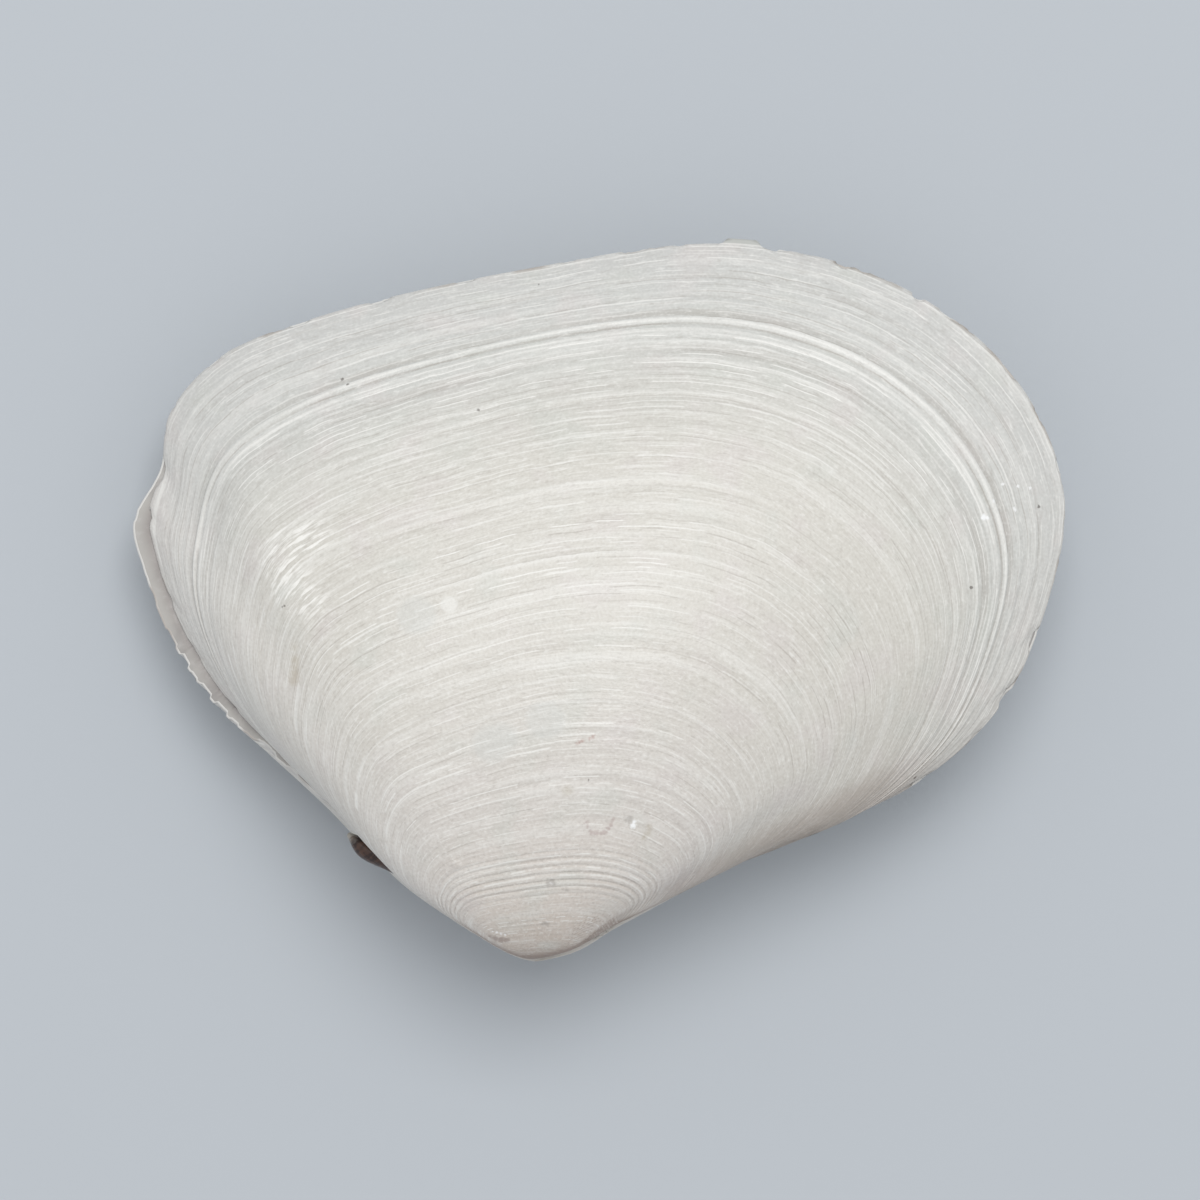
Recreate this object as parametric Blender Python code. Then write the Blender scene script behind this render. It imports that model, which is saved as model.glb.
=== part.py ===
"""A closed marine clam, Austromacoma constricta: two thin valves and the dark ligament that joins them.

It lies on its right valve with its left valve up, the beak towards -Y, the belly margin towards +Y and the
front of the animal towards +X. Sizes are millimetres here and metres in the scene.
"""

import math

import bmesh
import bpy
import numpy as np
from mathutils import Euler, Matrix, Vector

MM = 0.001

# The margin of a valve, seen square to the plane in which the two valves meet: x towards the front and y
# towards the belly, from the beak. These points make a shell 60 mm long.
FRONT_AND_BELLY = [
    (0.0, -0.6), (4.5, 1.9), (10.5, 4.9), (17.5, 7.5), (24.5, 10.8), (29.6, 15.5), (32.5, 21.5),
    (33.9, 28.6), (32.3, 34.3), (28.4, 39.4), (21.6, 43.6), (12.0, 45.6), (-1.2, 43.9), (-14.6, 40.8),
    (-20.8, 38.3), (-24.1, 34.6),
]
# From the notch round the blunt rear end and back up to the beak. The right valve reaches further out.
LEFT_REAR = [
    (-24.6, 31.0), (-25.4, 28.2), (-24.9, 25.4), (-23.3, 21.0), (-20.6, 16.6), (-16.5, 12.2), (-9.3, 5.1),
    (-7.0, 2.8), (-3.7, 0.6),
]
RIGHT_REAR = [
    (-25.1, 30.9), (-26.5, 27.5), (-25.7, 24.4), (-24.0, 20.1), (-21.1, 15.8), (-16.4, 11.7), (-12.0, 7.7),
    (-7.0, 2.8), (-3.7, 0.6),
]

# Growth: every earlier margin is a smaller copy of the last one, turned up round the hinge line.
CURL = 1.45  # how slowly the copies turn up: a larger value makes a flatter valve
BEAK_TURN = math.radians(95)  # the turn at the very tip of the beak
HINGE_OFFSET = 0.6  # from the beak back to the hinge line
HINGE_SLANT_YOUNG = math.radians(1)  # the hinge line's slant to x at the beak
HINGE_SLANT_GROWN = math.radians(12)  # and at the last margin
YOUNG_WIDTH = 0.2  # a young shell is this share longer for its height than a grown one
BEAK_DRIFT = -0.5  # the beak points a little to the rear

# Concentric ridges on the outside: (share of full size, height).
GROWTH_RIDGES = [(0.955, 0.10), (0.893, 0.20), (0.862, 0.12), (0.79, 0.14), (0.67, 0.12), (0.565, 0.12),
                 (0.37, 0.12), (0.20, 0.08)]
RIDGE_HALF_WIDTH = 0.011  # as a share of full size
RIDGE_FROM = 3.0  # along the margin from the beak, where a ridge starts to rise
RIDGE_REACH = 16.0
PLAIN_RINGS = [0.925, 0.828, 0.73, 0.615, 0.47, 0.28, 0.12, 0.06, 0.022]

# A rounded ridge and, behind it, a furrow run from the beak to the corner and the notch of the rear end.
REAR_RIDGE_AT = (-22.6, 36.2)
REAR_RIDGE_HEIGHT = 0.35
REAR_FURROW_AT = (-24.6, 31.0)
REAR_FURROW_DEPTH = 0.30
REAR_FOLD_WIDTH = 2.6  # along the margin

# The rear end bends to the right, which is down here.
BEND_FROM_X = -6.0
BEND_REACH = 20.0
BEND_DROP = 1.6

# The wall and the space inside it.
MEETING_GAP = 0.3  # between the two valves
RIM_WIDTH = 0.8
HINGE_PLATE_WIDTH = 2.5
HINGE_PLATE_REACH = 21.0  # along the margin to each side of the beak
HINGE_PLATE_TAPER = 8.0  # the last stretch of it, over which it narrows to the rim
CAVITY_CURL = 1.52
CAVITY_BEAK = (-0.3, 2.3)
CAVITY_OFFSET = 0.4
CAVITY_TURN = math.radians(80)
CAVITY_RINGS = [0.93, 0.80, 0.62, 0.42, 0.24, 0.11]

# Changes to the outside along the margin next to the beak. RUNS are the stretches at a line's two ends, and
# RISE and FALL the heights over the meeting plane, in which the change grows and dies away.
# Behind the beak both valves are hollowed as a bed for the ligament.
BED_LINE = [(-1.2, -0.2), (-3.7, 0.6), (-7.0, 2.8), (-9.3, 5.0), (-12.2, 7.8), (-14.6, 10.1)]
BED_DEPTH = 1.15
BED_RUNS = (2.0, 4.0)
BED_RISE = (-1.0, 0.0)
BED_FALL = (0.0, 1.6)
# Above the bed the flank swells out over it.
SWELL_LINE = [(-3.7, 0.6), (-7.0, 2.8), (-9.3, 5.0), (-12.2, 7.8), (-14.6, 10.1)]
SWELL = 0.5
SWELL_RUNS = (7.0, 9.0)
SWELL_RISE = (0.6, 2.2)
SWELL_FALL = (3.0, 8.0)
# In front of the beak the flank is drawn in above the margin.
LUNULE_LINE = [(19.5, 8.3), (14.0, 6.2), (9.0, 4.1), (4.5, 1.9), (1.5, 0.2)]
LUNULE_DEPTH = 0.5
LUNULE_RUNS = (6.0, 4.0)
LUNULE_RISE = (0.2, 1.4)
LUNULE_FALL = (3.0, 8.0)
LINE_REACH = 3.0  # how far such a change reaches from its line, seen from above

# The ligament: its middle line from the beak, with its half depth at each of those places.
LIGAMENT_LINE = [(-2.4, 0.5), (-4.9, 1.7), (-7.5, 3.55), (-9.65, 5.3), (-11.15, 6.35), (-12.35, 7.4)]
LIGAMENT_HALF_DEPTH = [0.12, 0.35, 0.42, 0.55, 0.60, 0.12]
LIGAMENT_HALF_WIDTH = 0.9
LIGAMENT_RINGS = 13
LIGAMENT_SIDES = 12

AROUND = 58  # points round a margin
REAR_DENSITY = 1.3  # how much closer they lie round the rear end
REAR_FROM_X = -17.0
REAR_BLEND = 3.0

# How the shell lies: tipped towards its belly margin and its front, on a small flat worn spot.
REST_TIP = math.radians(-4.1)
REST_ROLL = math.radians(-2.0)
WORN_SPOT_DEPTH = 0.08

SHELL_COLOUR = (0.74, 0.70, 0.64, 1.0)
LIGAMENT_COLOUR = (0.045, 0.022, 0.016, 1.0)


def clear_scene():
    for obj in list(bpy.data.objects):
        bpy.data.objects.remove(obj, do_unlink=True)


def material(name, colour, roughness):
    made = bpy.data.materials.new(name)
    made.use_nodes = True
    shader = made.node_tree.nodes["Principled BSDF"]
    shader.inputs["Base Color"].default_value = colour
    shader.inputs["Roughness"].default_value = roughness
    shader.inputs["Metallic"].default_value = 0.0
    return made


def smooth(share):
    """Rises from 0 to 1 without a corner as the share does."""
    share = np.clip(share, 0, 1)
    return share * share * (3 - 2 * share)


def spline_points(points, steps, closed):
    """Centripetal Catmull-Rom curve through the points, with this many steps between each two."""
    held = [np.array(p, float) for p in points]
    if closed:
        held = [held[-1], *held, held[0], held[1]]
    else:
        held = [2 * held[0] - held[1], *held, 2 * held[-1] - held[-2]]
    share = np.arange(steps)[:, None] / steps
    curve = []
    for before, start, end, after in zip(held, held[1:], held[2:], held[3:]):
        knot_1, knot_2, knot_3 = (
            math.sqrt(np.linalg.norm(b - a)) for a, b in ((before, start), (start, end), (end, after))
        )
        leave = (end - start) + knot_2 * ((start - before) / knot_1 - (end - before) / (knot_1 + knot_2))
        arrive = (end - start) + knot_2 * ((after - end) / knot_3 - (after - start) / (knot_2 + knot_3))
        curve.append(
            (2 * share**3 - 3 * share**2 + 1) * start
            + (share**3 - 2 * share**2 + share) * leave
            + (3 * share**2 - 2 * share**3) * end
            + (share**3 - share**2) * arrive
        )
    if not closed:
        curve.append(held[-2][None])
    return np.concatenate(curve)


def margin_outline(points):
    """AROUND points on the smooth closed margin, from the beak, closer together round the rear end."""
    curve = spline_points(points, 60, closed=True)
    step = np.roll(curve, -1, axis=0) - curve
    middle_x = curve[:, 0] + step[:, 0] / 2
    weight = 1 + REAR_DENSITY / (1 + np.exp((middle_x - REAR_FROM_X) / REAR_BLEND))
    travelled = np.concatenate([[0.0], np.cumsum(np.linalg.norm(step, axis=1) * weight)])
    wanted = np.arange(AROUND) * travelled[-1] / AROUND
    ends = np.vstack([curve, curve[:1]])
    return np.stack([np.interp(wanted, travelled, ends[:, axis]) for axis in (0, 1)], axis=1)


def distance_along(outline):
    """How far each point lies along the margin from the beak, the shorter way round."""
    step = np.linalg.norm(np.roll(outline, -1, axis=0) - outline, axis=1)
    travelled = np.concatenate([[0.0], np.cumsum(step)[:-1]])
    return np.minimum(travelled, step.sum() - travelled)


def inner_outline(outline):
    """The margin moved inwards: a narrow rim, and a wide plate by the beak that carries the hinge."""
    along = np.roll(outline, -1, axis=0) - np.roll(outline, 1, axis=0)
    along /= np.linalg.norm(along, axis=1)[:, None]
    inwards = np.stack([-along[:, 1], along[:, 0]], axis=1)
    plate = smooth((HINGE_PLATE_REACH - distance_along(outline)) / HINGE_PLATE_TAPER)
    width = RIM_WIDTH + (HINGE_PLATE_WIDTH - RIM_WIDTH) * plate
    return outline + inwards * width[:, None]


def growth_ring(outline, size, curl=CURL, turn=BEAK_TURN, offset=HINGE_OFFSET):
    """The margin as it was when the valve was this share of its full size, on a valve that faces up."""
    least = math.exp(-curl * turn)
    lift = -math.log(least + (1 - least) * size) / curl
    slant = HINGE_SLANT_YOUNG + (HINGE_SLANT_GROWN - HINGE_SLANT_YOUNG) * size
    along = outline[:, 0] * math.cos(slant) + outline[:, 1] * math.sin(slant)
    away = outline[:, 1] * math.cos(slant) - outline[:, 0] * math.sin(slant)
    along = along * size * (1 + YOUNG_WIDTH * (1 - size))
    from_hinge = offset + away * size
    away = from_hinge * math.cos(lift) - offset
    x = along * math.cos(slant) - away * math.sin(slant) + BEAK_DRIFT * (1 - size)
    y = along * math.sin(slant) + away * math.cos(slant)
    return np.stack([x, y, from_hinge * math.sin(lift)], axis=1)


def outside_relief(outline, sizes):
    """Height of the ridges and the furrow over the smooth valve, for each ring and point."""
    sizes = np.array(sizes)[:, None]
    ridges = sum(
        height * np.clip(1 - np.abs(sizes - at) / RIDGE_HALF_WIDTH, 0, 1) for at, height in GROWTH_RIDGES
    )
    belly = np.clip((distance_along(outline) - RIDGE_FROM) / RIDGE_REACH, 0, 1)[None]
    fold = 0
    for place, height in ((REAR_RIDGE_AT, REAR_RIDGE_HEIGHT), (REAR_FURROW_AT, -REAR_FURROW_DEPTH)):
        off = np.linalg.norm(outline - np.array(place), axis=1)[None]
        fold = fold + height * np.exp(-((off / REAR_FOLD_WIDTH) ** 2))
    fade = np.clip((1 - sizes) / 0.08, 0, 1) * np.clip(sizes / 0.3, 0, 1)
    return ridges * belly + fold * fade


def press(rings, points, depth, runs, rise, fall):
    """Moves the outside inwards along a line, which goes round the shell from front over beak to rear."""
    line = spline_points(points, 20, closed=False)
    along = np.gradient(line, axis=0)
    along /= np.linalg.norm(along, axis=1)[:, None]
    travelled = np.concatenate([[0.0], np.cumsum(np.linalg.norm(np.diff(line, axis=0), axis=1))])
    off = np.linalg.norm(rings[:, :, None, :2] - line, axis=3)
    nearest = off.argmin(axis=2)
    height = rings[..., 2]
    share = smooth(travelled[nearest] / runs[0])
    share *= smooth((travelled[-1] - travelled[nearest]) / runs[1])
    share *= smooth((height - rise[0]) / (rise[1] - rise[0]))
    share *= smooth((fall[1] - height) / (fall[1] - fall[0]))
    share *= smooth(LINE_REACH - off.min(axis=2))
    inwards = np.stack([along[:, 1], -along[:, 0]], axis=1)[nearest]
    rings[..., :2] += inwards * (depth * share)[..., None]


def outside_rings(outline):
    sizes = [1.0, *PLAIN_RINGS]
    for at, _ in GROWTH_RIDGES:
        sizes += [at - RIDGE_HALF_WIDTH, at, at + RIDGE_HALF_WIDTH]
    sizes = sorted(sizes, reverse=True)
    rings = np.array([growth_ring(outline, size) for size in sizes])
    round_ring = np.roll(rings, -1, axis=1) - np.roll(rings, 1, axis=1)
    to_beak = np.gradient(rings, axis=0)
    outwards = np.cross(round_ring, to_beak)
    outwards /= np.linalg.norm(outwards, axis=2)[:, :, None]
    rings = rings + outwards * outside_relief(outline, sizes)[:, :, None]
    press(rings, BED_LINE, BED_DEPTH, BED_RUNS, BED_RISE, BED_FALL)
    press(rings, SWELL_LINE, -SWELL, SWELL_RUNS, SWELL_RISE, SWELL_FALL)
    press(rings, LUNULE_LINE, LUNULE_DEPTH, LUNULE_RUNS, LUNULE_RISE, LUNULE_FALL)
    return rings


def inside_rings(outline):
    beak = np.array(CAVITY_BEAK)
    inner = inner_outline(outline) - beak
    rings = [
        growth_ring(inner, size, CAVITY_CURL, CAVITY_TURN, CAVITY_OFFSET) for size in [1.0, *CAVITY_RINGS]
    ]
    return np.array(rings) + np.array([beak[0], beak[1], 0.0])


def bend_rear(points):
    """Both valves turn down together towards the rear end."""
    reach = np.clip((BEND_FROM_X - points[..., 0]) / BEND_REACH, 0, None)
    points[..., 2] -= BEND_DROP * reach**2
    return points


def add_rings(shape, rings):
    return [[shape.verts.new(Vector(point) * MM) for point in ring] for ring in rings]


def bridge(shape, first, second):
    count = len(first)
    for i in range(count):
        j = (i + 1) % count
        shape.faces.new((first[i], first[j], second[j], second[i]))


def close_with_tip(shape, ring):
    tip = shape.verts.new(sum((vert.co for vert in ring), Vector()) / len(ring))
    for i in range(len(ring)):
        shape.faces.new((ring[i], ring[(i + 1) % len(ring)], tip))


def object_of(shape, name, finish):
    bmesh.ops.recalc_face_normals(shape, faces=shape.faces)
    mesh = bpy.data.meshes.new(name)
    shape.to_mesh(mesh)
    shape.free()
    mesh.shade_smooth()
    mesh.set_sharp_from_angle(angle=math.radians(50))
    mesh.materials.append(finish)
    made = bpy.data.objects.new(name, mesh)
    bpy.context.scene.collection.objects.link(made)
    return made


def valve(points, facing):
    """A hollow valve as a bmesh: facing is 1 for the left one, which is up, and -1 for the right one."""
    outline = margin_outline(points)
    sides = []
    for rings in (outside_rings(outline), inside_rings(outline)):
        rings[..., 2] = facing * (rings[..., 2] + MEETING_GAP / 2)
        sides.append(bend_rear(rings))
    shape = bmesh.new()
    outside, inside = (add_rings(shape, rings) for rings in sides)
    for rings in (outside, inside):
        for lower, upper in zip(rings, rings[1:]):
            bridge(shape, lower, upper)
        close_with_tip(shape, rings[-1])
    bridge(shape, inside[0], outside[0])
    bmesh.ops.recalc_face_normals(shape, faces=shape.faces)
    return shape


def ligament():
    """A lens-shaped strap in its bed behind the beak, which stands out most near its rear end."""
    line = spline_points(LIGAMENT_LINE, 12, closed=False)
    direction = np.gradient(line, axis=0)
    direction /= np.linalg.norm(direction, axis=1)[:, None]
    deep = spline_points([(depth, 0.0) for depth in LIGAMENT_HALF_DEPTH], 12, closed=False)[:, 0]
    turns = np.arange(LIGAMENT_SIDES) * 2 * math.pi / LIGAMENT_SIDES
    rings = []
    for place in range(LIGAMENT_RINGS):
        share = place / (LIGAMENT_RINGS - 1)
        pick = round((1 - math.cos(math.pi * share)) / 2 * (len(line) - 1))
        wide = LIGAMENT_HALF_WIDTH * (0.15 + 0.85 * math.sin(math.pi * share) ** 0.6)
        outwards = np.array([direction[pick][1], -direction[pick][0]])
        centre = line[pick]
        rings.append([
            (*(centre + outwards * deep[pick] * math.cos(a)), wide * math.sin(a))
            for a in turns
        ])
    shape = bmesh.new()
    placed = add_rings(shape, bend_rear(np.array(rings)))
    for first, second in zip(placed, placed[1:]):
        bridge(shape, first, second)
    close_with_tip(shape, placed[-1])
    close_with_tip(shape, placed[0])
    return shape


def wear_flat(shape, turn):
    """Cuts the lowest point of the tipped shell off flat, and gives the height of the cut."""
    level = min((turn @ vert.co).z for vert in shape.verts) + WORN_SPOT_DEPTH * MM
    up = turn.inverted() @ Vector((0, 0, 1))
    cut = bmesh.ops.bisect_plane(
        shape, geom=shape.verts[:] + shape.edges[:] + shape.faces[:], dist=1e-7, plane_co=up * level,
        plane_no=up, clear_inner=True,
    )
    edges = [item for item in cut["geom_cut"] if isinstance(item, bmesh.types.BMEdge)]
    bmesh.ops.contextual_create(shape, geom=edges)
    return level


def main():
    clear_scene()
    chalk = material("shell", SHELL_COLOUR, 0.42)
    horn = material("ligament", LIGAMENT_COLOUR, 0.5)
    turn = Euler((REST_TIP, REST_ROLL, 0.0)).to_matrix()
    left = valve(FRONT_AND_BELLY + LEFT_REAR, 1)
    right = valve(FRONT_AND_BELLY + RIGHT_REAR, -1)
    level = wear_flat(right, turn)
    pieces = [
        object_of(left, "left_valve", chalk),
        object_of(right, "right_valve", chalk),
        object_of(ligament(), "ligament", horn),
    ]
    corners = [turn @ vert.co for piece in pieces for vert in piece.data.vertices]
    middle = [(min(c[axis] for c in corners) + max(c[axis] for c in corners)) / 2 for axis in (0, 1)]
    resting = bpy.data.objects.new("resting_place", None)
    bpy.context.scene.collection.objects.link(resting)
    resting.matrix_world = Matrix.Translation((-middle[0], -middle[1], -level)) @ turn.to_4x4()
    for piece in pieces:
        piece.parent = resting


main()
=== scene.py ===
"""A closed marine clam, dressed for the camera: two chalky valves and the dark ligament between them.

Lengths are millimetres in the shell's own frame until a piece is placed: the valves meet in the plane
z = 0, the beaks are at the origin, the front of the animal is towards +x and its belly towards +y.
"""
import math

import bmesh
import bpy
import numpy as np
from mathutils import Euler, Matrix, Vector


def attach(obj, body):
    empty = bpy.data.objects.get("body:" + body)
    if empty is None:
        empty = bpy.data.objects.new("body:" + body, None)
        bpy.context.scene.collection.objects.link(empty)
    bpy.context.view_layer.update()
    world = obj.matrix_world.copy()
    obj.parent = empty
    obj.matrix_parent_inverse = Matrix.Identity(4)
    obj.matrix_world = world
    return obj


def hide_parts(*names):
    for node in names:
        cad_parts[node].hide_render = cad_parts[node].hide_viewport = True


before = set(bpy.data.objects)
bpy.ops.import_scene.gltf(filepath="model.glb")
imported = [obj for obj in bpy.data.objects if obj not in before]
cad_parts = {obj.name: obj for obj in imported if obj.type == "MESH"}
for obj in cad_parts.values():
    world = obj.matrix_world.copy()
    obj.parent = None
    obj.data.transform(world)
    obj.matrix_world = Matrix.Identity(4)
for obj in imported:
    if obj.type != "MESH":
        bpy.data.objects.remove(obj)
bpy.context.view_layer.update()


# The left valve is the upper half of the shell: aragonite, laid down at the margin as the animal grew, so
# every earlier margin still shows on it as a fine line. It was never made in one go: the beak is the oldest
# part, and the ridges that stand out are the winters and the repairs.
MM = 0.001
DOUBLES_WITHIN = 1e-7  # metres

FRONT_AND_BELLY = [
    (0.0, -0.6), (4.5, 1.9), (10.5, 4.9), (17.5, 7.5), (24.5, 10.8), (29.6, 15.5), (32.5, 21.5),
    (33.9, 28.6), (32.3, 34.3), (28.4, 39.4), (21.6, 43.6), (12.0, 45.6), (-1.2, 43.9), (-14.6, 40.8),
    (-20.8, 38.3), (-24.1, 34.6),
]
LEFT_REAR = [
    (-24.6, 31.0), (-25.4, 28.2), (-24.9, 25.4), (-23.3, 21.0), (-20.6, 16.6), (-16.5, 12.2), (-9.3, 5.1),
    (-7.0, 2.8), (-3.7, 0.6),
]

# Columns of points round the margin and rows from it to the beak, and how closely they stand: by the way
# round the margin from the beak in millimetres, and by age, which is 0 at the beak and 1 at the margin.
COLUMNS = 290
COLUMN_DENSITY = [
    (0, 0.7), (25, 0.8), (45, 1.0), (80, 1.15), (105, 1.0), (114, 1.6), (138, 1.6), (150, 1.0), (164, 0.7),
]
ROWS = 316
ROW_DENSITY = [
    (0.0, 1.5), (0.22, 1.5), (0.30, 1.0), (0.78, 1.0), (0.84, 1.5), (0.92, 1.5), (0.96, 1.1), (1.0, 1.3),
]
SHEET_EDGE = -0.5 + 1e-5  # the flat sheet runs from -0.5 to 0.5
FINE_RIM_SHARE = 0.92  # of the margin, away from the beak, on which the rim has more columns for its chips
FINE_RIM_CUTS = 2
MARGIN_STEPS = 60  # of the margin's curve, between two of its given points
HEADING_STEP = 0.5  # each way round the margin, to find its heading
WAY_STEP = 0.2  # and, with the step in age, to find which way the outside faces
AGE_STEP = 0.002

# The growth law: every earlier margin is a smaller copy of the last, turned up round the hinge line.
CURL = 1.45
BEAK_TURN = math.radians(95)
HINGE_OFFSET = 0.6
HINGE_SLANT_YOUNG = math.radians(1)
HINGE_SLANT_GROWN = math.radians(12)
YOUNG_WIDTH = 0.2
BEAK_DRIFT = -0.5

# Growth lines aren't quite copies of the margin. BOW is how far they run ahead of it (+) or behind it (-):
# the way round the margin, and the share of full size. BOW_AT is how strongly they do so at each age.
BOW = [
    (0, 0), (20, -0.03), (30, -0.05), (40, -0.046), (50, -0.043), (60, -0.032), (70, -0.017), (80, -0.008),
    (90, 0), (100, -0.009), (110, -0.019), (118, -0.021), (126, -0.02), (140, 0), (164, 0),
]
BOW_AT = [
    (0, 0), (0.12, 0.0), (0.30, 0.45), (0.45, 0.95), (0.70, 1.0), (0.82, 1.05), (0.93, 0.5), (1.0, 0.0),
]

# The rear end was rounder while the valve was young: its outline is smoothed over so many millimetres, up
# to this age and on this stretch of the margin. Each limit stands with its fade.
REAR_ROUNDING = 3.0
ROUNDING_STEP = 0.1
ROUNDING_STEPS = 90
ROUNDED_AGE_END = (0.995, 0.10)
ROUNDED_FROM = (102, 8)
ROUNDED_TO = (152, 8)

# Ridges (+) and grooves (-) of growth: age, height, half width in age, and the stretch of the margin, from
# and to, on which each is strong.
GROWTH_MARKS = [
    (0.9535, -0.05, 0.007, 40, 125), (0.9315, 0.035, 0.005, 40, 130), (0.9235, -0.04, 0.005, 30, 120),
    (0.915, 0.045, 0.005, 30, 95), (0.900, -0.08, 0.009, 10, 150), (0.892, 0.13, 0.0045, 10, 150),
    (0.886, -0.09, 0.004, 10, 150), (0.8775, 0.08, 0.004, 10, 140), (0.8715, 0.08, 0.004, 10, 150),
    (0.852, -0.07, 0.013, 10, 150), (0.836, 0.06, 0.005, 35, 80), (0.825, -0.03, 0.005, 35, 100),
    (0.813, 0.04, 0.004, 40, 110), (0.803, -0.04, 0.005, 30, 110), (0.791, 0.07, 0.004, 60, 105),
    (0.7835, -0.06, 0.005, 30, 105), (0.7625, 0.03, 0.006, 30, 110), (0.7525, -0.035, 0.005, 30, 110),
    (0.6755, 0.07, 0.004, 76, 102), (0.6665, -0.045, 0.004, 74, 118), (0.6565, 0.03, 0.004, 74, 112),
    (0.6295, -0.035, 0.004, 55, 112), (0.590, -0.03, 0.004, 40, 118), (0.5815, 0.075, 0.0045, 74, 116),
    (0.554, -0.03, 0.005, 40, 110), (0.543, 0.04, 0.004, 74, 112), (0.5175, 0.04, 0.0035, 60, 100),
    (0.502, -0.03, 0.004, 40, 118), (0.4835, 0.035, 0.004, 50, 118), (0.473, -0.055, 0.004, 60, 118),
    (0.4575, 0.05, 0.0035, 60, 100), (0.4265, -0.04, 0.0035, 55, 118), (0.405, 0.06, 0.004, 50, 118),
    (0.399, -0.05, 0.003, 55, 118), (0.3725, 0.065, 0.0035, 55, 118), (0.363, -0.045, 0.0035, 55, 118),
    (0.339, -0.04, 0.0035, 55, 118), (0.3155, 0.05, 0.003, 50, 118), (0.3075, -0.05, 0.003, 50, 118),
    (0.296, 0.05, 0.0035, 40, 118), (0.2835, -0.04, 0.0035, 40, 118), (0.259, -0.05, 0.003, 30, 125),
    (0.2475, 0.05, 0.003, 30, 125),
]
MARK_RELIEF = 0.6
MARK_LEAST = 0.3  # of its strength, off that stretch
MARK_FADE = 12
MARK_WAVER = 0.25
WEAK_MARKS_FROM = 100  # the way round the margin from which the ridges and grooves are weaker
WEAK_MARKS_LOSS = 0.35

# Fine growth lines between them, drawn by chance within these limits.
FINE_LINES = 420
FINE_LINE_AGES = (0.04, 0.995)
FINE_LINE_HALF_WIDTHS = (0.0022, 0.0042)
FINE_LINE_HEIGHT = 0.009
FINE_LINE_MIDDLES = (20, 150)
FINE_LINE_REACHES = (4, 30)
FINE_LINE_DRIFTS = (-0.0002, 0.0002)
FINE_LINE_WINDOW = 0.012  # age on either side of a line within which all of it lies

# All lines are lower beside the beak, by the way round the margin from it, and die away at both ends of age.
LINES_LEAST = 0.25
LINES_FROM = (2, 14)
LINES_BEAK_FADE = 0.03
LINES_MARGIN_FADE = 0.01

# The even ridges of the young shell, in ages.
YOUNG_RIDGE_STEP = 0.0103
YOUNG_RIDGES_START = 0.14
YOUNG_RIDGES_END = 0.235
YOUNG_RIDGES_FADE = 0.03
YOUNG_RIDGES_LEAST = 0.2
YOUNG_RIDGE_HEIGHT = 0.024
YOUNG_RIDGE_SHARPNESS = 1.6

# The rounded ridge and the furrow behind it run from the beak to these places on the margin, and behind
# BEND_FROM_X the whole rear end bends down.
REAR_RIDGE_AT = (-22.6, 36.2)
REAR_RIDGE_HEIGHT = 0.25
REAR_FURROW_AT = (-24.6, 31.0)
REAR_FURROW_DEPTH = 0.18
REAR_FOLD_WIDTH = 2.6
REAR_FOLD_FROM = (0.45, 0.45)
REAR_FOLD_END_FADE = 0.12
BEND_FROM_X = -6.0
BEND_REACH = 20.0
BEND_DROP = 1.6

EDGE_HEIGHT = 0.15  # from the plane where the valves meet up to the outside's last margin

# The rim goes in three rings from there to the cavity: the edge, its rounded corner and the flat's end. How
# far in and how high each lies, after the outside's own numbers.
RIM_RINGS = (1, 2, 3)
RIM_INSET = np.array([0, 0.02, 0.14, 0])
RIM_HEIGHT = np.array([0, 0.06, 0.02, 0.02])
HINGE_PLATE_WIDTH = 2.5
HINGE_PLATE_END = (21.0, 8.0)
CAVITY_CURL = 1.52
CAVITY_BEAK = (-0.3, 2.3)
CAVITY_OFFSET = 0.4
CAVITY_TURN = math.radians(80)
CAVITY_COLUMNS = 90
CAVITY_ROWS = 18
CAVITY_LAID = 6  # how far from the outside's flat sheet its own is laid
CAVITY_MARGIN_AGE = 0.975
CAVITY_SLOPE_FROM = (0.7, 0.3)

# Lines beside the beak along which the outside is pressed in (+) or swells out (-): the ligament's bed, the
# flank over it, and the hollow in front of the beaks. Each has its line, depth, runs at the line's ends, and
# the heights between which it rises and falls.
BED_LINE = [(-1.2, -0.2), (-3.7, 0.6), (-7.0, 2.8), (-9.3, 5.0), (-12.2, 7.8), (-14.6, 10.1)]
FRONT_LINE = [(19.5, 8.3), (14.0, 6.2), (9.0, 4.1), (4.5, 1.9), (1.5, 0.2)]
PRESSES = [
    (BED_LINE, 1.15, (2.0, 4.0), (-1.0, 0.0), (0.0, 1.6)),
    (BED_LINE[1:], -0.5, (7.0, 9.0), (0.6, 2.2), (3.0, 8.0)),
    (FRONT_LINE, 0.5, (6.0, 4.0), (0.2, 1.4), (3.0, 8.0)),
]
LINE_STEPS = 20
LINE_REACH = 4.6
LINE_FADE = 3.6  # the outer part of that reach, over which a change dies away

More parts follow.
